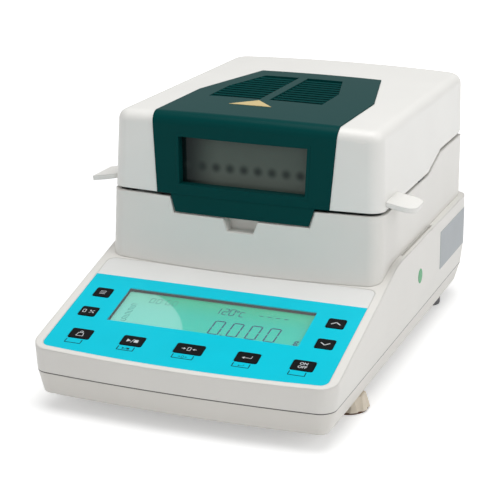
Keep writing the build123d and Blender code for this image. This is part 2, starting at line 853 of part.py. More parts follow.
# Chamber deck and well: one pressed sheet with a round-cornered tray
deck_width = tower_width - 10
deck_front = tower_front_y + tower_front_bow + wall + 2
deck_rear = hinge_y - barrel_r - 4
with BuildPart() as chamber_tray:
    with BuildSketch(Plane.XY.offset(deck_z + 0.1)) as deck:
        with Locations((0, (deck_front + deck_rear) / 2)):
            RectangleRounded(deck_width, deck_rear - deck_front, 8)
        with Locations((0, chamber_y)):
            RectangleRounded(2 * well_half, 2 * well_half, well_corner_r, mode=Mode.SUBTRACT)
    extrude(amount=sheet)
    with BuildSketch(Plane.XY.offset(well_floor_z)):
        with Locations((0, chamber_y)):
            RectangleRounded(2 * well_half, 2 * well_half, well_corner_r)
    extrude(amount=deck_z + 0.1 + sheet - well_floor_z)
    with BuildSketch(Plane.XY.offset(well_floor_z + sheet)):
        with Locations((0, chamber_y)):
            RectangleRounded(2 * (well_half - sheet), 2 * (well_half - sheet), well_corner_r - sheet)
    extrude(amount=60, mode=Mode.SUBTRACT)
    with Locations((0, chamber_y, well_floor_z)):
        Cylinder(9, 20, mode=Mode.SUBTRACT)
    fillet(
        chamber_tray.edges().filter_by(lambda e: abs(e.center().Z - well_floor_z) < 0.01 and e.length > 20), 1.0
    )
save(chamber_tray, "chamber_tray")

# Draft ring round the pan
ring_z = well_floor_z + sheet + 0.05
with BuildPart() as draft_ring:
    add(ring(ring_z, ring_r, ring_r - 1.6, ring_height, 0, chamber_y))
    add(ring(ring_z, ring_r + 5, ring_r - 1.6, 1.2, 0, chamber_y))
save(draft_ring, "draft_ring")

# Pan carrier with its handle, resting on the draft ring
carrier_z = ring_z + ring_height + 0.05
with BuildPart() as pan_handler:
    with BuildSketch(Plane.XY.offset(carrier_z)):
        with Locations((0, chamber_y)):
            Circle(ring_r + 2)
        with Locations((0, chamber_y - ring_r - 3)):
            RectangleRounded(20, 18, 5)
        with Locations((0, chamber_y)):
            Circle(pan_floor_r + 3, mode=Mode.SUBTRACT)
    extrude(amount=1.5)
save(pan_handler, "pan_handler")

# Sample pan: shallow dish with a flared lip
lip_z = carrier_z + 1.5 + seat_gap
with BuildPart() as sample_pan:
    with BuildSketch(Plane.XZ) as dish:
        with BuildLine():
            Polyline(
                (0, pan_z), (pan_floor_r, pan_z), (pan_floor_r + 1.8, lip_z), (pan_r, lip_z),
                (pan_r, lip_z + 0.8), (pan_floor_r + 1.1, lip_z + 0.8), (pan_floor_r - 0.6, pan_z + 0.8),
                (0, pan_z + 0.8), close=True,
            )
        make_face()
    revolve(axis=Axis.Z)
sample_pan.part = Pos(0, chamber_y, 0) * sample_pan.part
save(sample_pan, "sample_pan")

# Three-armed pan support on its stem
arm_top = pan_z - 0.05
with BuildPart() as pan_support:
    with BuildSketch(Plane.XY.offset(arm_top - 2.5)) as star:
        Circle(8)
        with PolarLocations(0, 3, start_angle=90):
            with Locations((support_arm_r / 2, 0)):
                Rectangle(support_arm_r, 7)
    extrude(amount=2.5)
    with Locations((0, 0, cell_top_z + 2.05)):
        Cylinder(stem_r, arm_top - cell_top_z - 3, align=(Align.CENTER, Align.CENTER, Align.MIN))
pan_support.part = Pos(0, chamber_y, 0) * pan_support.part
save(pan_support, "pan_support")

# Weighing cell: a beam whose middle is thinned to four bending points
cell_length = 100.0
cell_front_y = chamber_y - 12
cell_rear_y = cell_front_y + cell_length
cell_height = 22.0
cell_z = cell_top_z - 4 - cell_height
with BuildPart() as load_cell:
    with Locations((0, (cell_front_y + cell_rear_y) / 2, cell_z)):
        Box(26, cell_length, cell_height, align=(Align.CENTER, Align.CENTER, Align.MIN))
    with BuildSketch(Plane.YZ):
        with Locations(*[
            ((cell_front_y + cell_rear_y) / 2 + y, cell_z + cell_height / 2 + z)
            for y in (-20, 20) for z in (-3.5, 3.5)
        ]):
            Circle(6)
        with Locations(((cell_front_y + cell_rear_y) / 2, cell_z + cell_height / 2)):
            Rectangle(40, 10)
    extrude(amount=20, both=True, mode=Mode.SUBTRACT)
save(load_cell, "load_cell")

with BuildPart() as stem_socket:
    add(ring(cell_top_z - 3.9, 9, 0, 1.9, 0, chamber_y))
    add(ring(cell_top_z - 2, 6, stem_r + 0.1, 10, 0, chamber_y))
    add(ring(cell_top_z - 2, 6, 0, 4, 0, chamber_y))
save(stem_socket, "stem_socket")

with BuildPart() as cell_base:
    add(plate(tray_floor + 0.05, 0, (cell_front_y + cell_rear_y) / 2, 70, cell_length + 20, 5))
    add(plate(tray_floor + 0.05, 0, cell_rear_y - 14, 26, 28, cell_z - tray_floor - 0.1))
    with Locations(*[
        (x, (cell_front_y + cell_rear_y) / 2 + y, tray_floor) for x in (-29, 29) for y in (-50, 50)
    ]):
        Cylinder(2, 20, mode=Mode.SUBTRACT)
save(cell_base, "cell_base")

# Control board and power supply on the tray
with BuildPart() as main_board:
    add(plate(tray_floor + 7, 0, main_board_y, 140, 84, board_thick))
    with Locations(*[(x, main_board_y + y, tray_floor) for x in (-64, 64) for y in (-36, 36)]):
        Cylinder(3, 7, align=(Align.CENTER, Align.CENTER, Align.MIN))
    with Locations((0, main_board_y, tray_floor + 7 + board_thick)):
        Box(24, 24, 2.4, align=(Align.CENTER, Align.CENTER, Align.MIN))
    with Locations(*[(-40, main_board_y + y, tray_floor + 7 + board_thick) for y in (-10, 12)]):
        Box(14, 10, 2, align=(Align.CENTER, Align.CENTER, Align.MIN))
    with Locations((46, main_board_y + 12, tray_floor + 7 + board_thick)):
        Cylinder(5, 11, align=(Align.CENTER, Align.CENTER, Align.MIN))
save(main_board, "main_board")

with BuildPart() as power_board:
    add(plate(tray_floor + 6, 62, power_board_y, 46, 96, board_thick))
    with Locations(*[(x, power_board_y + y, tray_floor) for x in (44, 80) for y in (-43, 43)]):
        Cylinder(3, 6, align=(Align.CENTER, Align.CENTER, Align.MIN))
    with Locations(*[(x, power_board_y - 27, tray_floor + 6 + board_thick) for x in (52, 72)]):
        Cylinder(7, 24, align=(Align.CENTER, Align.CENTER, Align.MIN))
save(power_board, "power_board")

with BuildPart() as transformer:
    with Locations((62, transformer_y, tray_floor + 6 + board_thick + 0.05)):
        Box(40, 34, 32, align=(Align.CENTER, Align.CENTER, Align.MIN))
    with Locations((62, transformer_y, tray_floor + 6 + board_thick + 6)):
        Box(28, 46, 20, align=(Align.CENTER, Align.CENTER, Align.MIN))
save(transformer, "transformer")

# Rear sockets and the power rocker, set flush in the rear wall
with BuildPart() as mains_inlet:
    with Locations((inlet_x, rear_y - 0.2, socket_z)):
        Box(inlet_width, inlet_depth, inlet_height, align=(Align.CENTER, Align.MAX, Align.CENTER))
    with Locations((inlet_x, rear_y, socket_z + 6)):
        Box(24.5, 34, 16.5, mode=Mode.SUBTRACT)
    with Locations((inlet_x, rear_y - 17.6, socket_z + 6)):
        Box(26, 3, 18)
    with BuildSketch(Plane.XZ.offset(-(rear_y - 19))):
        with Locations((inlet_x - 7, socket_z + 4), (inlet_x, socket_z + 8), (inlet_x + 7, socket_z + 4)):
            Rectangle(2, 4.5)
    extrude(amount=-14)
    with Locations((inlet_x, rear_y - 0.2, socket_z - 13)):
        Box(20, 1.2, 12, mode=Mode.SUBTRACT)
save(mains_inlet, "mains_inlet")

with BuildPart() as switch_housing:
    with Locations((rocker_x, rear_y - 0.2, socket_z)):
        Box(rocker_width, 16, rocker_height, align=(Align.CENTER, Align.MAX, Align.CENTER))
        Box(10.4, 24, 16, align=(Align.CENTER, Align.CENTER, Align.CENTER), mode=Mode.SUBTRACT)
    with Locations((rocker_x, rear_y - 15.7, socket_z)):
        Box(12, 1.2, 18)
    with Locations((rocker_x, rear_y - 6.5, socket_z)):
        Cylinder(1.0, 13, rotation=(0, 90, 0))
save(switch_housing, "switch_housing")

with BuildPart() as power_rocker:
    with BuildSketch(Plane.YZ.offset(rocker_x - 4.8)):
        with BuildLine():
            Polyline(
                (rear_y - 0.6, socket_z), (rear_y - 2.4, socket_z + 7.2), (rear_y - 8.5, socket_z + 6.2),
                (rear_y - 9, socket_z), (rear_y - 8.5, socket_z - 6.2), (rear_y - 2.4, socket_z - 7.2), close=True,
            )
        make_face()
        with Locations((rear_y - 6.5, socket_z)):
            Circle(1.0 + running_gap, mode=Mode.SUBTRACT)
    extrude(amount=9.6)
power_rocker.part = power_rocker.part.rotate(
    Axis((0, rear_y - 6.5, socket_z), (1, 0, 0)), -rocker_tilt
)
save(power_rocker, "power_rocker")

with BuildPart() as data_socket:
    with Locations((data_x, rear_y - 0.2, socket_z)):
        Box(data_width, 12, data_height, align=(Align.CENTER, Align.MAX, Align.CENTER))
    with BuildSketch(Plane.XZ.offset(-rear_y)):
        with Locations((data_x, socket_z + 1.4)):
            with GridLocations(2.76, 1, 5, 1):
                Circle(0.55)
        with Locations((data_x, socket_z - 1.4)):
            with GridLocations(2.76, 1, 4, 1):
                Circle(0.55)
    extrude(amount=7, mode=Mode.SUBTRACT)
save(data_socket, "data_socket")

# Heater in the lid: reflector, ring lamp, sockets, guard and probe
reflector_z = 142.0
reflector_height = 26.0
reflector_r = 68.0
lamp_r = 48.0
with BuildPart() as reflector:
    add(ring(reflector_z, reflector_r, reflector_r - 1.2, reflector_height, 0, chamber_y))
    add(ring(reflector_z + reflector_height - 1.2, reflector_r, 14, 1.2, 0, chamber_y))
    add(ring(reflector_z, reflector_r + 6, reflector_r - 1.2, 1.2, 0, chamber_y))
    with Locations((0, chamber_y, reflector_z + 14)):
        with PolarLocations(reflector_r, 28, start_angle=90 + 180 / 28):
            Cylinder(2.6, 8, rotation=(0, 90, 0), mode=Mode.SUBTRACT)
save(reflector, "reflector")

with BuildPart() as lid_tray:
    with BuildSketch(Plane.XY.offset(reflector_z - sheet - 0.1)):
        with Locations((0, (lid_front_y + hinge_y) / 2 + 2)):
            Rectangle(lid_width + 10, hinge_y - lid_front_y - 34)
        with Locations((0, chamber_y)):
            Circle(reflector_r - 4, mode=Mode.SUBTRACT)
    extrude(amount=sheet)
    add(lid_block(lid_wall + seat_gap), mode=Mode.INTERSECT)
    with Locations((0, lid_front_y, reflector_z)):
        Box(120, 46, 10, mode=Mode.SUBTRACT)
save(lid_tray, "lid_tray")

with BuildPart() as ring_lamp:
    with BuildSketch(Plane.XZ):
        with Locations((lamp_r, reflector_z + 14)):
            Circle(5)
    revolve(axis=Axis.Z, revolution_arc=336)
ring_lamp.part = Pos(0, chamber_y, 0) * Rot(0, 0, 102) * ring_lamp.part
save(ring_lamp, "ring_lamp")

with BuildPart() as lamp_sockets:
    with Locations(*[(x, chamber_y + lamp_r, reflector_z + 4) for x in (-10, 10)]):
        Box(9, 14, 20.7, align=(Align.CENTER, Align.CENTER, Align.MIN))
    add(ring_lamp.part, mode=Mode.SUBTRACT)
save(lamp_sockets, "lamp_sockets")

with BuildPart() as lamp_guard:
    for radius in (20, 38, reflector_r - 5.5):
        add(ring(reflector_z + 1.4, radius + 1.2, radius - 1.2, 1.6, 0, chamber_y))
    with BuildSketch(Plane.XY.offset(reflector_z + 1.4)):
        with Locations((0, chamber_y)):
            with PolarLocations(0, 6, start_angle=30):
                with Locations(((20 + reflector_r - 1.5) / 2, 0)):
                    Rectangle(reflector_r - 1.5 - 20, 2.0)
    extrude(amount=1.6)
save(lamp_guard, "lamp_guard")

with BuildPart() as heat_probe:
    add(ring(reflector_z + 5, 2, 0, reflector_height - 4, 0, chamber_y))
    add(ring(reflector_z + reflector_height + 0.1, 17, 0, 1.5, 0, chamber_y))
save(heat_probe, "heat_probe")

# Hinge rod through the ears and the lid's barrel
with BuildPart() as hinge_rod:
    add(hinge_cylinder(hinge_pin_r, -barrel_half + 1, barrel_half - 1))
save(hinge_rod, "hinge_rod")

# Rubber buffers on the tower's rim, that the lid rests on
with BuildPart() as lid_buffers:
    with Locations(*[
        (x, y, lid_low_z - lid_gap + 0.05) for x in (-buffer_x, buffer_x) for y in (buffer_front_y, buffer_rear_y)
    ]):
        Box(2.2, 14, lid_gap - 0.1, align=(Align.CENTER, Align.CENTER, Align.MIN))
save(lid_buffers, "lid_buffers")

# Feet: scalloped levelling knobs on studs at the front, fixed pads at the rear
for side, name in ((-1, "left"), (1, "right")):
    with BuildPart() as knob:
        with BuildSketch(Plane.XY.offset(pad_thick)):
            with Locations((side * foot_x, foot_y)):
                Circle(foot_r)
                with PolarLocations(foot_r + 1.6, foot_lobes):
                    Circle(3.0, mode=Mode.SUBTRACT)
        extrude(amount=case_bottom - pad_thick - foot_gap, taper=18)
        with Locations((side * foot_x, foot_y, pad_thick)):
            Cylinder(stud_r, 22, align=(Align.CENTER, Align.CENTER, Align.MIN))
    save(knob, f"foot_knob_{name}")
    with BuildPart() as pad:
        add(ring(0, foot_r - 1.2, 0, pad_thick - 0.05, side * foot_x, foot_y))
        fillet(pad.edges().sort_by(Axis.Z)[0], 0.5)
    save(pad, f"foot_pad_{name}")

with BuildPart() as rear_feet:
    for side in (-1, 1):
        add(ring(0, rear_foot_r, 0, case_bottom, side * rear_foot_x, rear_foot_y))
    fillet(rear_feet.edges().group_by(Axis.Z)[0], 1.0)
save(rear_feet, "rear_feet")

# Screws that join the case halves from below
with BuildPart() as case_screws:
    for x, y in pillar_places:
        add(ring(case_bottom + 0.8, screw_head_r, 1.0, 1.8, x, y))
        add(ring(case_bottom + 1.4, screw_r - 0.25, 0, 22, x, y))
        add(ring(case_bottom + 1.4, screw_head_r, 0, 1.2, x, y))
save(case_screws, "case_screws")

# Bare label and a round sticker on the case's right side
label_x = case_width / 2 - 1.2
with BuildPart() as side_label:
    with Locations((label_x, rear_y - 49.5, 60)):
        Box(4, 86, 30)
    add(case_block(-0.25), mode=Mode.INTERSECT)
    add(case_block(0), mode=Mode.SUBTRACT)
save(side_label, "side_label")

with BuildPart() as round_sticker:
    with Locations((label_x, rear_y - 154.5, 58)):
        Cylinder(5.5, 8, rotation=(0, 90, 0))
    add(case_block(-0.25), mode=Mode.INTERSECT)
    add(case_block(0), mode=Mode.SUBTRACT)
save(round_sticker, "round_sticker")
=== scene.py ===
"""Looks of a bench moisture analyzer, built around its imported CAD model."""

import math

import bmesh
import bpy
from mathutils import Matrix, Vector


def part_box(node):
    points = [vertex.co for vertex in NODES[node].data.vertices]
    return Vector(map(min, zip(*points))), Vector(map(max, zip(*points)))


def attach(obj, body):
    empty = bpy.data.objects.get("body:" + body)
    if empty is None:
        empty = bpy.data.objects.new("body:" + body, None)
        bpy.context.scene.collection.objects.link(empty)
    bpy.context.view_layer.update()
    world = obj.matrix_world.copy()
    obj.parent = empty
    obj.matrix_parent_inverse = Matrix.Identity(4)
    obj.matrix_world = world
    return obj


bl_info = {
    "name": "Bench moisture analyzer",
    "version": (1, 0, 0),
    "blender": (4, 5, 0),
    "location": "View3D > Sidebar > Analyzer",
    "description": "Finishes and printed marks of a bench moisture analyzer",
    "category": "Object",
}

MM = 0.001

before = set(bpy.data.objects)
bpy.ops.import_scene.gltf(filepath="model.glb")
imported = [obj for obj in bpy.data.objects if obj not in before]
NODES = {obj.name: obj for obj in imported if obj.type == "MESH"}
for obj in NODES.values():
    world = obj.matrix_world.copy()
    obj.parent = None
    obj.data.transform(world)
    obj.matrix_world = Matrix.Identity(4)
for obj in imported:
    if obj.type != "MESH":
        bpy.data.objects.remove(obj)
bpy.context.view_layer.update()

# The sloped control panel: a point at its front edge, its slope and its directions
PANEL_SLOPE = math.radians(15.1)
PANEL_START = Vector((0, -181.2, 45.0)) * MM
UP_PANEL = Vector((0, math.cos(PANEL_SLOPE), math.sin(PANEL_SLOPE)))
OFF_PANEL = Vector((0, -math.sin(PANEL_SLOPE), math.cos(PANEL_SLOPE)))

# Places on the panel, in millimetres across it and up its slope
FILM_END = 95.8
DISPLAY_LOW = 42
DISPLAY_HIGH = 83
# Painted reflection on the display: its circle's middle across and below the display, and its reach
PAINTED_REFLECTION_ACROSS = -80.2
PAINTED_REFLECTION_BELOW = 22
PAINTED_REFLECTION_REACH = 70.6
BRACKET_DROP = 6.6
BRACKET_SHIFT = -1.4

# The display's figures: places across and up the panel, then widths, heights and lines
DIGITS_ACROSS = (2.9, 16.1, 29.4, 42.6)
DIGITS_BASE = 46.1
POINT_ACROSS = 12.6
DEGREES = (("1", -1.6), ("2", 4.2), ("0", 9.0))
SMALL_BASE = 70.0
SMALL_SIZE = (3.4, 7.2, 0.75)
DASHES_ACROSS = (30.0, 35.8, 42.0, 47.8)
DASHES_BASE = 70.4
COLON = ((40.2, 72.5), (40.3, 75.5))
FAINT_ROW = (-50.5, -45.6, -38.6, -33.7)
FAINT_COLUMN = [47.6 + 5.6 * step for step in range(4)]
GRAM_PLACE = (64.9, 50.0)

# Row of painted dark spots on the viewing window's glass, standing for the reflector's holes in shade, in
# metres
SPOT_HALF_PITCH = 0.0052
SPOT_OFFSET = 0.0268
SPOT_HEIGHT = 0.1485

# Large lamps of the stage: place, aim and size, in metres
KEY_LAMP = ((0.1, -0.1, 1.7), (0, 0, 0.08), 1.3)
SIDE_LAMP = ((1.6, -0.3, 0.9), (0, 0, 0.1), 1.2)
FRONT_LAMP = ((-0.7, -2.0, 1.0), (0, 0, 0.1), 1.2)


def linear(text):
    """Linear colour of an sRGB hex value such as #C9BFAE."""
    parts = [int(text[i:i + 2], 16) / 255 for i in (1, 3, 5)]
    return tuple(p / 12.92 if p <= 0.04045 else ((p + 0.055) / 1.055) ** 2.4 for p in parts)


def colour_field(name, description, text):
    """A colour property with an sRGB hex value as its default."""
    return bpy.props.FloatVectorProperty(
        name=name, description=description, subtype="COLOR", size=3, min=0, max=1, default=linear(text)
    )


def length_field(name, description, value):
    """A length property whose default is given in millimetres."""
    return bpy.props.FloatProperty(
        name=name, description=description, subtype="DISTANCE", unit="LENGTH", min=0, default=value * MM,
        precision=5,
    )


class AnalyzerColours(bpy.types.PropertyGroup):
    """Colours of the housing, the panel and the small parts."""

    housing: colour_field("Housing", "Upper case and heating tower", "#E4E2DD")
    base: colour_field("Base", "Lower case", "#E2DFD9")
    lid: colour_field("Lid", "Lid shell and its lift tabs", "#ECEBE7")
    insert: colour_field("Insert", "Front and roof insert of the lid", "#003F3E")
    film: colour_field("Film", "Printed ground of the control panel", "#00C6DC")
    strip: colour_field("Strip", "Pale strip above the printed ground", "#E2E2E0")
    key: colour_field("Key", "Keys of the control panel", "#07090B")
    key_mark: colour_field("Key mark", "Marks printed on the keys", "#C9CDD0")
    film_mark: colour_field("Film mark", "Brackets and marks printed on the film", "#062A33")
    display: colour_field("Display", "Ground of the liquid crystal display", "#28C4AE")
    segment: colour_field("Segment", "Switched segments of the display", "#054A6C")
    warning: colour_field("Caution triangle", "Ground of the caution triangle", "#D6BF84")
    label: colour_field("Label", "Bare label on the right side", "#989FA4")
    sticker: colour_field("Sticker", "Round sticker on the right side", "#009A55")
    foot: colour_field("Foot", "Knob of a levelling foot", "#DDD2C0")
    rubber: colour_field("Rubber", "Pad of a levelling foot", "#5A3A20")


class AnalyzerSizes(bpy.types.PropertyGroup):
    """Sizes of the printed marks and the display's figures."""

    print_thick: length_field("Print thickness", "How far a printed mark stands off its ground", 0.03)
    line: length_field("Line", "Width of a printed line", 0.45)
    digit_height: length_field("Digit height", "Height of the display's large digits", 15.6)
    digit_width: length_field("Digit width", "Width of the display's large digits", 7.1)
    segment_line: length_field("Segment line", "Width of a large digit's segments", 1.1)
    bracket_depth: length_field("Bracket depth", "Depth of the bracket under a key", 4.2)
    edge_round: length_field("Edge rounding", "Rounding of the lid's edges that light catches", 0.9)
    case_round: length_field("Case rounding", "Rounding of the housing's edges that light catches", 1.8)
    parting_z: length_field("Parting line", "Height of the joint between the upper and the lower case", 28.0)
    parting_width: length_field("Parting width", "Width of that joint's dark line", 0.7)


class AnalyzerStage(bpy.types.PropertyGroup):
    """Camera, lamps and floor."""

    camera_place: bpy.props.FloatVectorProperty(
        name="Camera place", description="Where the camera stands", subtype="TRANSLATION", unit="LENGTH",
        size=3, default=(0.3733, -1.0728, 0.4196),
    )
    camera_turn: bpy.props.FloatProperty(
        name="Turn", description="Camera's turn about the upright", subtype="ANGLE", unit="ROTATION",
        default=math.radians(19.98),
    )
    camera_drop: bpy.props.FloatProperty(
        name="Drop", description="How far the camera looks down", subtype="ANGLE", unit="ROTATION",
        default=math.radians(16.93),
    )
    camera_roll: bpy.props.FloatProperty(
        name="Roll", description="Camera's roll about its line of sight", subtype="ANGLE", unit="ROTATION",
        default=math.radians(0.86),
    )
    camera_lens: bpy.props.FloatProperty(
        name="Lens", description="Focal length in millimetres", default=114.9
    )
    key_power: bpy.props.FloatProperty(
        name="Key lamp", description="Power of the large lamp overhead", unit="POWER", default=18.0
    )
    side_power: bpy.props.FloatProperty(
        name="Side lamp", description="Power of the soft lamp on the right", unit="POWER", default=7.0
    )
    front_power: bpy.props.FloatProperty(
        name="Front lamp", description="Power of the soft lamp in front", unit="POWER", default=3.0
    )
    sky: bpy.props.FloatProperty(name="Sky", description="Strength of the even light all round", default=0.4)


# Materials


def add_node(tree, kind, values=None, links=None, stops=None, **settings):
    """Adds one shader node with its settings, input values, links from outputs and colour stops."""
    made = tree.nodes.new(kind)
    for key, value in settings.items():
        setattr(made, key, value)
    for key, value in (values or {}).items():
        made.inputs[key].default_value = value
    for key, output in (links or {}).items():
        tree.links.new(output, made.inputs[key])
    if stops:
        ramp = made.color_ramp
        while len(ramp.elements) < len(stops):
            ramp.elements.new(0.5)
        for element, (place, colour) in zip(ramp.elements, stops):
            element.position = place
            element.color = (*colour, 1)
    return made


def start_material(name, **sockets):
    """A new material, its tree, its main shader with plain values set, and object coordinates."""
    material = bpy.data.materials.new(name)
    material.use_nodes = True
    tree = material.node_tree
    shader = tree.nodes["Principled BSDF"]
    for key, value in sockets.items():
        shader.inputs[key.replace("_", " ")].default_value = value
    place = add_node(tree, "ShaderNodeTexCoord").outputs["Object"]
    return material, tree, shader, place


def shade(colour, factor):
    """A colour made lighter or darker by a factor."""
    return tuple(min(1.0, c * factor) for c in colour)


def mottle(tree, place, colour, spread, size_mm, detail=2.0):
    """Colour that drifts a little lighter and darker over a given size."""
    cloud = add_node(
        tree, "ShaderNodeTexNoise", {"Scale": 1 / (size_mm * MM), "Detail": detail}, {"Vector": place}
    )
    return add_node(
        tree, "ShaderNodeValToRGB", links={"Fac": cloud.outputs["Fac"]},
        stops=[(0.3, shade(colour, 1 - spread)), (0.7, shade(colour, 1 + spread))],
    ).outputs["Color"]


def grain(tree, place, size_mm, depth_mm, strength, normal=None):
    """Normal of a fine grain of a given size and depth."""
    noise = add_node(
        tree, "ShaderNodeTexNoise", {"Scale": 1 / (size_mm * MM), "Detail": 1.0}, {"Vector": place}
    )
    links = {"Height": noise.outputs["Fac"]}
    if normal:
        links["Normal"] = normal
    return add_node(
        tree, "ShaderNodeBump", {"Strength": strength, "Distance": depth_mm * MM}, links
    ).outputs["Normal"]


def dark_line(tree, place, colour, height, width):
    """Colour that turns dark in a thin level line, such as the joint between two mouldings."""
    axes = add_node(tree, "ShaderNodeSeparateXYZ", links={"Vector": place})
    inside = add_node(
        tree, "ShaderNodeMath", {1: height, 2: width / 2}, {0: axes.outputs["Z"]}, operation="COMPARE"
    )
    return add_node(
        tree, "ShaderNodeMixRGB", {"Color2": (0.12, 0.115, 0.11, 1)},
        {"Fac": inside.outputs[0], "Color1": colour},
    ).outputs["Color"]


def moulded_abs(name, colour, edge, roughness=0.42, size_mm=0.7, sheen=0.5, joint=None):
    """Injection-moulded ABS with a spark-eroded grain: a soft, even sheen and edges that catch the light."""
    material, tree, shader, place = start_material(
        name, Roughness=roughness, IOR=1.53, Specular_IOR_Level=sheen
    )
    ground = mottle(tree, place, colour, 0.012, 45)
    if joint:
        ground = dark_line(tree, place, ground, *joint)
    tree.links.new(ground, shader.inputs["Base Color"])
    rounded = add_node(tree, "ShaderNodeBevel", {"Radius": edge}, samples=4).outputs["Normal"]
    # Real grain is about 0.1 mm; it is drawn coarser so that it shows
    tree.links.new(grain(tree, place, size_mm, 0.02, 0.25, rounded), shader.inputs["Normal"])
    return material


def printed_film(colours):
    """Polyester film, matt-coated and printed from behind: even colour with a fine coated texture."""
    material, tree, shader, place = start_material(
        "polyester_film", Roughness=0.4, IOR=1.6, Specular_IOR_Level=0.08
    )
    boundary = (PANEL_START + UP_PANEL * FILM_END * MM).y
    axes = add_node(tree, "ShaderNodeSeparateXYZ", links={"Vector": place})
    past = add_node(tree, "ShaderNodeMath", {1: boundary}, {0: axes.outputs["Y"]}, operation="GREATER_THAN")
    ground = mottle(tree, place, colours.film, 0.02, 30)
    strip = mottle(tree, place, colours.strip, 0.012, 30)
    mixed = add_node(
        tree, "ShaderNodeMixRGB", links={"Fac": past.outputs[0], "Color1": ground, "Color2": strip}
    )
    tree.links.new(mixed.outputs["Color"], shader.inputs["Base Color"])
    tree.links.new(grain(tree, place, 0.5, 0.01, 0.2), shader.inputs["Normal"])
    return material


def domed_key(colours):
    """Embossed black film over a dome: deep black with a soft gloss."""
    material, tree, shader, place = start_material(
        "embossed_key_film", Roughness=0.45, IOR=1.55, Specular_IOR_Level=0.1
    )
    tree.links.new(mottle(tree, place, colours.key, 0.15, 4), shader.inputs["Base Color"])
    rounded = add_node(tree, "ShaderNodeBevel", {"Radius": 0.4 * MM}, samples=4).outputs["Normal"]
    tree.links.new(grain(tree, place, 0.4, 0.01, 0.2, rounded), shader.inputs["Normal"])
    return material


def printing_ink(name, colour, roughness=0.5):
    """Screen-printed ink: flat and slightly uneven in cover."""
    material, tree, shader, place = start_material(name, Roughness=roughness, IOR=1.5, Specular_IOR_Level=0.1)
    tree.links.new(mottle(tree, place, colour, 0.08, 1.5), shader.inputs["Base Color"])
    return material


def display_ground(colours):
    """Reflective liquid crystal glass over a green diffuser, with a painted reflection that makes it paler to
    the left, and greener along its top.
    """
    material, tree, shader, place = start_material(
        "liquid_crystal_glass", Roughness=0.16, IOR=1.5, Specular_IOR_Level=0.2
    )
    axes = add_node(tree, "ShaderNodeSeparateXYZ", links={"Vector": place})
    low = PANEL_START.y + DISPLAY_LOW * MM * UP_PANEL.y
    high = PANEL_START.y + DISPLAY_HIGH * MM * UP_PANEL.y
    rise = add_node(
        tree, "ShaderNodeMapRange", {"From Min": low, "From Max": high}, {"Value": axes.outputs["Y"]}
    )
    ground = add_node(
        tree, "ShaderNodeValToRGB", links={"Fac": rise.outputs["Result"]},
        stops=[(0.0, shade(colours.display, 1.12)), (0.55, colours.display), (1.0, linear("#33BE92"))],
    )
    # Painted reflection: a pale patch that ends in a curve, so it is the inside of a wide circle about a
    # point at the lower left
    offset = add_node(
        tree, "ShaderNodeVectorMath",
        {1: (PAINTED_REFLECTION_ACROSS * MM, low - PAINTED_REFLECTION_BELOW * MM * UP_PANEL.y, 0)}, {0: place}, operation="SUBTRACT",
    )
    flat = add_node(
        tree, "ShaderNodeVectorMath", {1: (1, 1 / UP_PANEL.y, 0)}, {0: offset.outputs[0]},
        operation="MULTIPLY",
    )
    reach = add_node(tree, "ShaderNodeVectorMath", links={0: flat.outputs[0]}, operation="LENGTH")
    painted_reflection = add_node(
        tree, "ShaderNodeMapRange",
        {"From Min": (PAINTED_REFLECTION_REACH + 0.7) * MM, "From Max": (PAINTED_REFLECTION_REACH - 0.7) * MM, "To Max": 0.42},
        {"Value": reach.outputs["Value"]},
    )
    mixed = add_node(
        tree, "ShaderNodeMixRGB", {"Color2": (*linear("#B4EEE6"), 1)},
        {"Fac": painted_reflection.outputs["Result"], "Color1": ground.outputs["Color"]},
    )
    tree.links.new(mixed.outputs["Color"], shader.inputs["Base Color"])
    tree.links.new(grain(tree, place, 6.0, 0.02, 0.1), shader.inputs["Normal"])
    return material


def clear_cover():
    """Clear polyester of the display's opening: passes light, with a faint gloss."""
    material, tree, shader, place = start_material("clear_polyester", Roughness=0.06, IOR=1.5, Alpha=0.06)
    tree.links.new(mottle(tree, place, (0.9, 0.95, 0.95), 0.02, 20), shader.inputs["Base Color"])
    return material


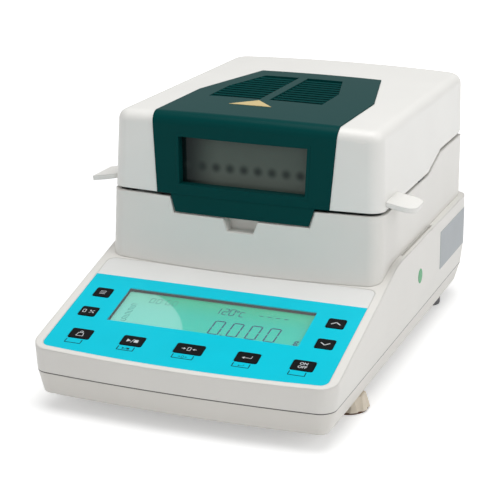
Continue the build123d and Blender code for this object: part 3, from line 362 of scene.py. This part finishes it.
def window_glass_and_painted_shade():
    """Tempered glass, smoked and frosted behind, with painted shade: the reflector's row of holes is painted
    as soft dark spots, and the glass is painted darker at its left end.
    """
    material, tree, shader, place = start_material(
        "tempered_glass_and_painted_shade", Roughness=0.12, IOR=1.5, Specular_IOR_Level=0.12
    )
    axes = add_node(tree, "ShaderNodeSeparateXYZ", links={"Vector": place})
    # Painted shade: distance from the nearest of the dark spots' middles; the spots are about 6 mm across and
    # stand for the reflector's holes in shade
    shifted = add_node(
        tree, "ShaderNodeMath", {1: SPOT_OFFSET}, {0: axes.outputs["X"]}, operation="ADD"
    )
    cell = add_node(
        tree, "ShaderNodeMath", {1: SPOT_HALF_PITCH}, {0: shifted.outputs[0]}, operation="PINGPONG"
    )
    across = add_node(
        tree, "ShaderNodeMath", {1: SPOT_HALF_PITCH}, {0: cell.outputs[0]}, operation="SUBTRACT"
    )
    height = add_node(
        tree, "ShaderNodeMath", {1: SPOT_HEIGHT}, {0: axes.outputs["Z"]}, operation="SUBTRACT"
    )
    point = add_node(
        tree, "ShaderNodeCombineXYZ", links={"X": across.outputs[0], "Y": height.outputs[0]}
    )
    reach = add_node(tree, "ShaderNodeVectorMath", links={0: point.outputs[0]}, operation="LENGTH")
    painted_hole_shade = add_node(
        tree, "ShaderNodeMapRange", {"From Min": 0.0052, "From Max": 0.0005, "To Max": 0.9},
        {"Value": reach.outputs["Value"]}, interpolation_type="SMOOTHSTEP",
    )
    # Painted shade and light: the glass is dark at its left end and paler towards the middle
    side = add_node(
        tree, "ShaderNodeMapRange", {"From Min": -0.046, "From Max": -0.018}, {"Value": axes.outputs["X"]},
        interpolation_type="SMOOTHSTEP",
    )
    ground = add_node(
        tree, "ShaderNodeValToRGB", links={"Fac": side.outputs["Result"]},
        stops=[(0.0, linear("#0F1D1D")), (1.0, linear("#5A635C"))],
    )
    mixed = add_node(
        tree, "ShaderNodeMixRGB", {"Color2": (*linear("#252F2D"), 1)},
        {"Fac": painted_hole_shade.outputs["Result"], "Color1": ground.outputs["Color"]},
    )
    tree.links.new(mixed.outputs["Color"], shader.inputs["Base Color"])
    return material


def sheet_metal(name, colour, roughness, brush_mm, length_mm=12.0):
    """Rolled or brushed sheet: fine parallel lines that stretch the highlight."""
    material, tree, shader, place = start_material(name, Metallic=1.0, Roughness=roughness)
    stretched = add_node(
        tree, "ShaderNodeMapping",
        {"Scale": (1 / (length_mm * MM), 1 / (brush_mm * MM), 1 / (brush_mm * MM))}, {"Vector": place},
    )
    lines = add_node(
        tree, "ShaderNodeTexNoise", {"Scale": 1.0, "Detail": 2.0}, {"Vector": stretched.outputs["Vector"]}
    )
    tint = add_node(
        tree, "ShaderNodeValToRGB", links={"Fac": lines.outputs["Fac"]},
        stops=[(0.3, shade(colour, 0.9)), (0.7, shade(colour, 1.05))],
    )
    tree.links.new(tint.outputs["Color"], shader.inputs["Base Color"])
    bump = add_node(
        tree, "ShaderNodeBump", {"Strength": 0.15, "Distance": 0.01 * MM}, {"Height": lines.outputs["Fac"]}
    )
    tree.links.new(bump.outputs["Normal"], shader.inputs["Normal"])
    return material


def rubber(name, colour, roughness=0.75):
    """Moulded rubber: dull, with a little dust in its grain."""
    material, tree, shader, place = start_material(name, Roughness=roughness, IOR=1.52)
    tree.links.new(mottle(tree, place, colour, 0.12, 3), shader.inputs["Base Color"])
    tree.links.new(grain(tree, place, 0.8, 0.05, 0.4), shader.inputs["Normal"])
    return material


def quartz_tube():
    """Quartz glass of the ring lamp: clear with a bright filament tone inside."""
    material, tree, shader, place = start_material("quartz_glass", Roughness=0.05, IOR=1.46)
    shader.inputs["Transmission Weight"].default_value = 0.7
    tree.links.new(mottle(tree, place, linear("#E8E2D6"), 0.05, 8), shader.inputs["Base Color"])
    return material


def circuit_board():
    """Glass-fibre board under green solder mask: tracks show as a faint pattern of lighter lines."""
    material, tree, shader, place = start_material("solder_mask", Roughness=0.35, IOR=1.55)
    tracks = add_node(
        tree, "ShaderNodeTexBrick",
        {"Scale": 1 / (12 * MM), "Mortar Size": 0.05, "Color1": (*linear("#0E5A2C"), 1),
         "Color2": (*linear("#0B4F27"), 1), "Mortar": (*linear("#1B7A40"), 1)}, {"Vector": place},
    )
    tree.links.new(tracks.outputs["Color"], shader.inputs["Base Color"])
    return material


def vinyl(name, colour, roughness=0.38):
    """Vinyl label stock: smooth, with a faint orange-peel surface."""
    material, tree, shader, place = start_material(name, Roughness=roughness, IOR=1.54)
    tree.links.new(mottle(tree, place, colour, 0.02, 10), shader.inputs["Base Color"])
    tree.links.new(grain(tree, place, 1.5, 0.01, 0.15), shader.inputs["Normal"])
    return material


# Printed pieces


def bar(u0, v0, u1, v1, width):
    """Outline of a straight bar between two points."""
    along = Vector((u1 - u0, v1 - v0)).normalized() * width / 2
    side = Vector((-along.y, along.x))
    start, end = Vector((u0, v0)), Vector((u1, v1))
    return [start - side, end - side, end + side, start + side]


def path_bars(points, width):
    """Bars along a line of points, square at their ends."""
    return [bar(*a, *b, width) for a, b in zip(points, points[1:])]


def round_point(u, v, radius, angle):
    """Point at an angle, in radians, on a circle about u, v."""
    return u + radius * math.cos(angle), v + radius * math.sin(angle)


def disc(u, v, radius, sides=20):
    """Outline of a round dot."""
    return [Vector(round_point(u, v, radius, 2 * math.pi * i / sides)) for i in range(sides)]


def arc_bars(u, v, radius, start, end, width, steps=14):
    """Bars along an arc, between two angles in degrees."""
    turns = [math.radians(start + (end - start) * i / steps) for i in range(steps + 1)]
    return path_bars([round_point(u, v, radius, turn) for turn in turns], width)


SEGMENTS = {"0": "abcdef", "1": "bc", "2": "abged", "5": "afgcd", "C": "afed", "-": "g"}


def segment_digit(character, u, v, width, height, line, lean=0.06):
    """Seven-segment figure with its lower left corner at u, v, leaning a little to the right."""
    gap = line * 0.35
    ends = {
        "a": ((0, height), (width, height)), "b": ((width, height), (width, height / 2)),
        "c": ((width, height / 2), (width, 0)), "d": ((0, 0), (width, 0)),
        "e": ((0, 0), (0, height / 2)), "f": ((0, height / 2), (0, height)),
        "g": ((0, height / 2), (width, height / 2)),
    }
    shapes = []
    for key in SEGMENTS[character]:
        start, end = (Vector(p) for p in ends[key])
        step = (end - start).normalized() * gap
        start, end = start + step, end - step
        for point in (start, end):
            point.x += u + lean * point.y
            point.y += v
        shapes.append(bar(*start, *end, line))
    return shapes


def node_top(node, about, normal):
    """How far a CAD node reaches along a direction from a point."""
    mesh = NODES[node].data
    return max((vertex.co - about).dot(normal) for vertex in mesh.vertices)


def printed_piece(name, shapes, plane, thick, material, body):
    """Thin printed piece: flat outlines, in metres on a plane, given a small thickness."""
    origin, across, up = plane
    normal = across.cross(up)
    mesh = bpy.data.meshes.new(name)
    form = bmesh.new()
    for outline in shapes:
        low = [form.verts.new(origin + across * p[0] + up * p[1]) for p in outline]
        high = [form.verts.new(origin + across * p[0] + up * p[1] + normal * thick) for p in outline]
        form.faces.new(low[::-1])
        form.faces.new(high)
        for i in range(len(outline)):
            j = (i + 1) % len(outline)
            form.faces.new((low[i], low[j], high[j], high[i]))
    bmesh.ops.recalc_face_normals(form, faces=form.faces)
    form.to_mesh(mesh)
    form.free()
    mesh.materials.append(material)
    piece = bpy.data.objects.new(name, mesh)
    bpy.context.scene.collection.objects.link(piece)
    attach(piece, body)
    return piece


def scaled(shapes, factor=MM):
    """Outlines in millimetres as outlines in metres."""
    return [[Vector(p) * factor for p in outline] for outline in shapes]


def panel_plane(x_mm, s_mm, height):
    """Plane on the control panel at a place across and up the slope, at a height off it."""
    origin = PANEL_START + Vector((x_mm * MM, 0, 0)) + UP_PANEL * s_mm * MM + OFF_PANEL * height
    return origin, Vector((1, 0, 0)), UP_PANEL


def lettering(name, text, size_mm, plane, thick, material, body):
    """Short generic lettering as a thin flat mesh, centred on a plane."""
    curve = bpy.data.curves.new(name, "FONT")
    curve.body = text
    curve.size = size_mm * MM
    curve.align_x = "CENTER"
    curve.align_y = "CENTER"
    curve.extrude = thick / 2
    curve.offset = size_mm * MM * 0.02
    holder = bpy.data.objects.new(name + "_curve", curve)
    bpy.context.scene.collection.objects.link(holder)
    bpy.context.view_layer.update()
    mesh = bpy.data.meshes.new_from_object(holder)
    bpy.data.objects.remove(holder)
    origin, across, up = plane
    turn = Matrix((across, up, across.cross(up))).transposed().to_4x4()
    mesh.transform(Matrix.Translation(origin) @ turn)
    mesh.materials.clear()
    mesh.materials.append(material)
    piece = bpy.data.objects.new(name, mesh)
    bpy.context.scene.collection.objects.link(piece)
    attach(piece, body)
    return piece


# Marks of the keys, in millimetres about the key's middle


def mark_menu(line):
    return [bar(-2.2, v, 2.2, v, line) for v in (-1.6, 0.0, 1.6)]


def mark_zero(line):
    ring = path_bars([(-4.0, -1.6), (-4.0, 1.6), (-2.0, 1.6), (-2.0, -1.6), (-4.0, -1.6)], line)
    percent = path_bars([(1.0, -1.7), (4.2, 1.7)], line)
    return ring + percent + [disc(1.5, 1.1, 0.65), disc(3.8, -1.1, 0.65)]


def mark_weight(line):
    body = path_bars([(-2.6, -2.6), (2.6, -2.6), (1.8, 1.0), (-1.8, 1.0), (-2.6, -2.6)], line)
    return body + arc_bars(0, 2.0, 0.9, -60, 240, line)


def mark_run(line):
    return [
        [(-4.0, -1.7), (-1.2, 0.0), (-4.0, 1.7)], [(1.2, -1.5), (4.2, -1.5), (4.2, 1.5), (1.2, 1.5)],
        bar(-0.7, -2.0, 0.7, 2.0, line),
    ]


def arrow_to(u, direction, line):
    """Short arrow whose tip is at u and which points left or right."""
    tail = u - direction * 3.0
    return [bar(tail, 0, u - direction * 1.0, 0, line),
            [(u, 0), (u - direction * 1.5, 1.1), (u - direction * 1.5, -1.1)]]


def mark_tare(line):
    ring = path_bars([(-1.1, -1.7), (-1.1, 1.7), (1.1, 1.7), (1.1, -1.7), (-1.1, -1.7)], line)
    return ring + arrow_to(-2.4, 1, line) + arrow_to(2.4, -1, line)


def mark_enter(line):
    tip = [(-3.6, -0.6), (-1.8, 0.6), (-1.8, -1.8)]
    return path_bars([(3.0, 1.8), (3.0, -0.6), (-2.0, -0.6)], line) + [tip]


def mark_up(line):
    return path_bars([(-3.2, -1.2), (0.0, 1.3), (3.2, -1.2)], line * 1.7)


def mark_down(line):
    return path_bars([(-3.2, 1.2), (0.0, -1.3), (3.2, 1.2)], line * 1.7)


KEY_MARKS = {
    "key_menu": mark_menu, "key_zero": mark_zero, "key_calibrate": mark_weight, "key_start_stop": mark_run,
    "key_tare": mark_tare, "key_enter": mark_enter, "key_up": mark_up, "key_down": mark_down,
}
BRACKETS = {
    "key_calibrate": None, "key_start_stop": mark_run, "key_tare": mark_tare, "key_enter": mark_enter,
    "key_on_off": None,
}


def key_middle(node):
    """Place of a key's middle across and up the panel, in millimetres, and the height of its top."""
    low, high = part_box(node)
    middle = (Vector(low) + Vector(high)) / 2
    return middle.x / MM, (middle - PANEL_START).dot(UP_PANEL) / MM, node_top(node, PANEL_START, OFF_PANEL)


# Operators


def dress(nodes, material):
    """Gives CAD nodes their finish."""
    for node in nodes:
        slots = NODES[node].data.materials
        slots.clear()
        slots.append(material)


class ANALYZER_OT_housing(bpy.types.Operator):
    """Finishes the moulded housing, the lid and its insert"""

    bl_idname = "analyzer.housing"
    bl_label = "Housing and lid"

    def execute(self, context):
        colours = context.scene.analyzer_colours
        sizes = context.scene.analyzer_sizes
        edge = sizes.edge_round
        joint = (sizes.parting_z, sizes.parting_width)
        dress(
            ["upper_case", "heating_tower"],
            moulded_abs("moulded_abs_housing", colours.housing, sizes.case_round, joint=joint),
        )
        dress(["lower_case"], moulded_abs("moulded_abs_base", colours.base, sizes.case_round, joint=joint))
        dress(
            ["lid_shell", "lift_tab_left", "lift_tab_right"],
            moulded_abs("moulded_abs_lid", colours.lid, edge),
        )
        dress(["lid_insert"], moulded_abs("moulded_abs_insert", colours.insert, edge, 0.34, 0.9, 0.04))
        dress(["viewing_window"], window_glass_and_painted_shade())
        dress(["caution_triangle"], vinyl("caution_vinyl", colours.warning))
        dress(["side_label"], vinyl("label_vinyl", colours.label))
        dress(["round_sticker"], vinyl("sticker_vinyl", colours.sticker))
        return {"FINISHED"}


class ANALYZER_OT_panel(bpy.types.Operator):
    """Finishes the control panel's film and keys and prints their marks"""

    bl_idname = "analyzer.panel"
    bl_label = "Control panel"

    def execute(self, context):
        colours = context.scene.analyzer_colours
        sizes = context.scene.analyzer_sizes
        line = sizes.line / MM
        dress(["keypad_overlay"], printed_film(colours))
        keys = [name for name in NODES if name.startswith("key_")]
        dress(keys, domed_key(colours))
        light_ink = printing_ink("pale_ink", colours.key_mark)
        dark_ink = printing_ink("dark_ink", colours.film_mark)
        film_top = node_top("keypad_overlay", PANEL_START, OFF_PANEL)
        for key, draw in KEY_MARKS.items():
            x, s, top = key_middle(key)
            printed_piece(
                "mark_of_" + key, scaled(draw(line)), panel_plane(x, s, top), sizes.print_thick, light_ink,
                key,
            )
        x, s, top = key_middle("key_on_off")
        for text, rise in (("ON", 1.9), ("OFF", -1.9)):
            lettering(
                "mark_" + text.lower(), text, 3.6, panel_plane(x, s + rise, top + sizes.print_thick / 2),
                sizes.print_thick, light_ink, "key_on_off",
            )
        depth = sizes.bracket_depth / MM
        for key, draw in BRACKETS.items():
            low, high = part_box(key)
            x, s = key_middle(key)[:2]
            half = (high[0] - low[0]) / MM * 0.36
            front = s - BRACKET_DROP
            rear = front - depth
            u = BRACKET_SHIFT
            shapes = path_bars(
                [(u - half, front), (u - half - 0.2, rear), (u + half, rear), (u + half, front)], line * 1.4
            )
            if draw:
                shapes += [
                    [(p[0] * 0.62 + u, p[1] * 0.62 + front - depth / 2) for p in outline]
                    for outline in draw(line)
                ]
            printed_piece(
                "bracket_of_" + key, scaled(shapes), panel_plane(x, 0, film_top), sizes.print_thick, dark_ink,
                "case",
            )
        return {"FINISHED"}


class ANALYZER_OT_display(bpy.types.Operator):
    """Finishes the display and switches on its figures"""

    bl_idname = "analyzer.display"
    bl_label = "Display"

    def execute(self, context):
        colours = context.scene.analyzer_colours
        sizes = context.scene.analyzer_sizes
        dress(["display_glass"], display_ground(colours))
        dress(["display_lens"], clear_cover())
        black = moulded_abs("black_abs", linear("#060708"), 0.2 * MM, 0.5, sheen=0.1)
        dress(["display_bezel", "display_frame"], black)
        ink = printing_ink("liquid_crystal_segment", colours.segment, 0.3)
        faint = printing_ink("faint_segment", shade(linear("#2C8F86"), 0.8), 0.3)
        top = node_top("display_glass", PANEL_START, OFF_PANEL)
        height = sizes.digit_height / MM
        width = sizes.digit_width / MM
        line = sizes.segment_line / MM
        shapes = []
        for place in DIGITS_ACROSS:
            shapes += segment_digit("0", place, DIGITS_BASE, width, height, line)
        shapes.append(disc(POINT_ACROSS, DIGITS_BASE, 0.75))
        self.figure(context, "large_figures", shapes, top, ink)
        shapes = []
        for character, place in DEGREES:
            shapes += segment_digit(character, place, SMALL_BASE, *SMALL_SIZE)
        shapes += arc_bars(14.6, 75.6, 0.9, 0, 360, 0.55)
        shapes += segment_digit("C", 16.6, SMALL_BASE, 3.2, 5.4, 0.7)
        for place in DASHES_ACROSS:
            shapes += segment_digit("-", place, DASHES_BASE, *SMALL_SIZE)
        shapes += [disc(u, v, 0.35) for u, v in COLON]
        self.figure(context, "small_figures", shapes, top, ink)
        shapes = []
        for place in FAINT_ROW:
            shapes += segment_digit("0", place, 72.4, 3.0, 5.4, 0.45)
        shapes += [disc(-41.0, 74.0, 0.35), disc(-40.8, 76.6, 0.35)]
        for base in FAINT_COLUMN:
            shapes += segment_digit("5", -61.6, base, 3.6, 4.0, 0.45)
        self.figure(context, "faint_figures", shapes, top, faint)
        thick = sizes.print_thick
        lettering(
            "gram_sign", "g", 7.5, panel_plane(*GRAM_PLACE, top + thick / 2), thick, ink, "case"
        )
        return {"FINISHED"}

    @staticmethod
    def figure(context, name, shapes, top, ink):
        thick = context.scene.analyzer_sizes.print_thick
        printed_piece(name, scaled(shapes), panel_plane(0, 0, top), thick, ink, "case")


class ANALYZER_OT_chamber(bpy.types.Operator):
    """Finishes the weighing chamber, the heater and the parts inside"""

    bl_idname = "analyzer.chamber"
    bl_label = "Chamber and heater"

    def execute(self, context):
        steel = sheet_metal("brushed_stainless_steel", linear("#B9BCBD"), 0.32, 0.3)
        dress(["chamber_tray", "lid_tray", "window_frame", "draft_ring", "lamp_guard"], steel)
        bright = sheet_metal("rolled_bright_aluminium", linear("#D6D8DA"), 0.22, 0.25, 20)
        dress(["sample_pan", "reflector", "pan_handler"], bright)
        turned = sheet_metal("turned_steel", linear("#A7AAAC"), 0.28, 0.2, 4)
        dress(["pan_support", "stem_socket", "hinge_rod", "case_screws", "heat_probe"], turned)
        dress(["ring_lamp"], quartz_tube())
        dress(["lamp_sockets"], moulded_abs("steatite", linear("#E6DFCE"), 0.4 * MM, 0.6, 0.4))
        cast = sheet_metal("cast_aluminium", linear("#9A9DA0"), 0.5, 1.2, 1.2)
        dress(["load_cell", "cell_base"], cast)
        dress(["transformer"], sheet_metal("transformer_laminations", linear("#6E6A66"), 0.45, 0.5, 30))
        dress(["keypad_board", "main_board", "power_board"], circuit_board())
        nylon = moulded_abs("natural_nylon", linear("#2B2D2E"), 0.2 * MM, 0.5, 0.5)
        dress(["push_switches", "board_posts"], nylon)
        return {"FINISHED"}


class ANALYZER_OT_fittings(bpy.types.Operator):
    """Finishes the feet, the rear sockets and the rubber buffers"""

    bl_idname = "analyzer.fittings"
    bl_label = "Feet and sockets"

    def execute(self, context):
        colours = context.scene.analyzer_colours
        knob = moulded_abs("moulded_nylon", colours.foot, 0.5 * MM, 0.4, 0.6)
        dress(["foot_knob_left", "foot_knob_right"], knob)
        dress(["foot_pad_left", "foot_pad_right"], rubber("brown_rubber", colours.rubber))
        dress(["rear_feet", "lid_buffers"], rubber("grey_rubber", linear("#6E6E70")))
        black = moulded_abs("black_polyamide", linear("#141517"), 0.3 * MM, 0.45, 0.5)
        dress(["mains_inlet", "switch_housing", "data_socket", "power_rocker"], black)
        return {"FINISHED"}


def studio_material():
    """White floor: to the camera it is lit and also shines a little, so it is white and keeps its shadow."""
    material = bpy.data.materials.new("studio_floor")
    material.use_nodes = True
    tree = material.node_tree
    tree.nodes.remove(tree.nodes["Principled BSDF"])
    path = add_node(tree, "ShaderNodeLightPath")
    matt = add_node(tree, "ShaderNodeBsdfDiffuse", {"Color": (0.75, 0.75, 0.75, 1)})
    soft = add_node(tree, "ShaderNodeBsdfDiffuse", {"Color": (0.85, 0.85, 0.85, 1)})
    # Painted shade: the floor shines less near the analyzer, so it is darker around it; far from the
    # analyzer, where no shadow falls, it is as bright as the backdrop
    place = add_node(tree, "ShaderNodeTexCoord").outputs["Object"]
    away = add_node(tree, "ShaderNodeVectorMath", links={0: place}, operation="LENGTH").outputs["Value"]
    strength = add_node(
        tree, "ShaderNodeMapRange", {"From Min": 0.45, "From Max": 1.0, "To Min": 0.36, "To Max": 1.0},
        {"Value": away}, interpolation_type="SMOOTHSTEP",
    ).outputs["Result"]
    glow = add_node(tree, "ShaderNodeEmission", {"Color": (1, 1, 1, 1)}, {"Strength": strength})
    seen = add_node(tree, "ShaderNodeAddShader", links={0: soft.outputs[0], 1: glow.outputs[0]})
    direct = add_node(
        tree, "ShaderNodeMath", links={0: path.outputs["Is Camera Ray"], 1: path.outputs["Is Glossy Ray"]},
        operation="MAXIMUM",
    )
    straight = add_node(
        tree, "ShaderNodeMath", links={0: direct.outputs[0], 1: path.outputs["Is Transmission Ray"]},
        operation="MAXIMUM",
    )
    mixed = add_node(
        tree, "ShaderNodeMixShader", links={0: straight.outputs[0], 1: matt.outputs[0], 2: seen.outputs[0]}
    )
    tree.links.new(mixed.outputs[0], tree.nodes["Material Output"].inputs["Surface"])
    return material


class ANALYZER_OT_stage(bpy.types.Operator):
    """Places the floor, the sky, the lamps and the camera"""

    bl_idname = "analyzer.stage"
    bl_label = "Stage"

    def execute(self, context):
        stage = context.scene.analyzer_stage
        self.floor()
        self.sky(context, stage.sky)
        self.lamp("key_lamp", *KEY_LAMP, stage.key_power)
        self.lamp("side_lamp", *SIDE_LAMP, stage.side_power)
        self.lamp("front_lamp", *FRONT_LAMP, stage.front_power)
        self.camera(context, stage)
        context.scene.view_settings.view_transform = "Standard"
        return {"FINISHED"}

    @staticmethod
    def floor():
        mesh = bpy.data.meshes.new("studio_floor")
        form = bmesh.new()
        bmesh.ops.create_circle(form, cap_ends=True, segments=64, radius=12)
        form.to_mesh(mesh)
        form.free()
        mesh.materials.append(studio_material())
        floor = bpy.data.objects.new("studio_floor", mesh)
        bpy.context.scene.collection.objects.link(floor)

    @staticmethod
    def sky(context, strength):
        world = bpy.data.worlds.new("studio_sky")
        context.scene.world = world
        world.use_nodes = True
        tree = world.node_tree
        path = add_node(tree, "ShaderNodeLightPath")
        plain = add_node(tree, "ShaderNodeMath", {1: 1.0 - strength},
                         {0: path.outputs["Is Camera Ray"]}, operation="MULTIPLY")
        level = add_node(tree, "ShaderNodeMath", {1: strength}, {0: plain.outputs[0]}, operation="ADD")
        back = tree.nodes["Background"]
        back.inputs["Color"].default_value = (1, 1, 1, 1)
        tree.links.new(level.outputs[0], back.inputs["Strength"])

    @staticmethod
    def lamp(name, place, aim, size, power):
        data = bpy.data.lights.new(name, "AREA")
        data.size = size
        data.energy = power
        lamp = bpy.data.objects.new(name, data)
        lamp.location = place
        lamp.rotation_euler = (Vector(aim) - Vector(place)).to_track_quat("-Z", "Y").to_euler()
        bpy.context.scene.collection.objects.link(lamp)

    @staticmethod
    def camera(context, stage):
        turn, drop, roll = stage.camera_turn, stage.camera_drop, stage.camera_roll
        sight = Vector((-math.sin(turn) * math.cos(drop), math.cos(turn) * math.cos(drop), -math.sin(drop)))
        right = Vector((math.cos(turn), math.sin(turn), 0))
        up = right.cross(sight)
        across = right * math.cos(roll) + up * math.sin(roll)
        upward = up * math.cos(roll) - right * math.sin(roll)
        data = bpy.data.cameras.new("camera")
        data.lens = stage.camera_lens
        data.sensor_width = 36
        data.clip_end = 50
        camera = bpy.data.objects.new("camera", data)
        place = Matrix((across, upward, -sight)).transposed().to_4x4()
        camera.matrix_world = Matrix.Translation(stage.camera_place) @ place
        context.scene.collection.objects.link(camera)
        context.scene.camera = camera


class ANALYZER_PT_panel(bpy.types.Panel):
    """Lists the steps that dress the analyzer"""

    bl_idname = "ANALYZER_PT_panel"
    bl_label = "Moisture analyzer"
    bl_space_type = "VIEW_3D"
    bl_region_type = "UI"
    bl_category = "Analyzer"

    def draw(self, context):
        layout = self.layout
        for group in (
            context.scene.analyzer_colours, context.scene.analyzer_sizes, context.scene.analyzer_stage
        ):
            box = layout.box()
            for field in group.__annotations__:
                box.prop(group, field)
        for operator in OPERATORS:
            layout.operator(operator.bl_idname)


OPERATORS = (
    ANALYZER_OT_housing, ANALYZER_OT_panel, ANALYZER_OT_display, ANALYZER_OT_chamber, ANALYZER_OT_fittings,
    ANALYZER_OT_stage,
)
GROUPS = (AnalyzerColours, AnalyzerSizes, AnalyzerStage)


def register():
    for kind in (*GROUPS, *OPERATORS, ANALYZER_PT_panel):
        bpy.utils.register_class(kind)
    bpy.types.Scene.analyzer_colours = bpy.props.PointerProperty(type=AnalyzerColours)
    bpy.types.Scene.analyzer_sizes = bpy.props.PointerProperty(type=AnalyzerSizes)
    bpy.types.Scene.analyzer_stage = bpy.props.PointerProperty(type=AnalyzerStage)


def unregister():
    del bpy.types.Scene.analyzer_stage
    del bpy.types.Scene.analyzer_sizes
    del bpy.types.Scene.analyzer_colours
    for kind in reversed((*GROUPS, *OPERATORS, ANALYZER_PT_panel)):
        bpy.utils.unregister_class(kind)


def main():
    register()
    bpy.ops.analyzer.housing()
    bpy.ops.analyzer.panel()
    bpy.ops.analyzer.display()
    bpy.ops.analyzer.chamber()
    bpy.ops.analyzer.fittings()
    bpy.ops.analyzer.stage()


if __name__ == "__main__":
    main()
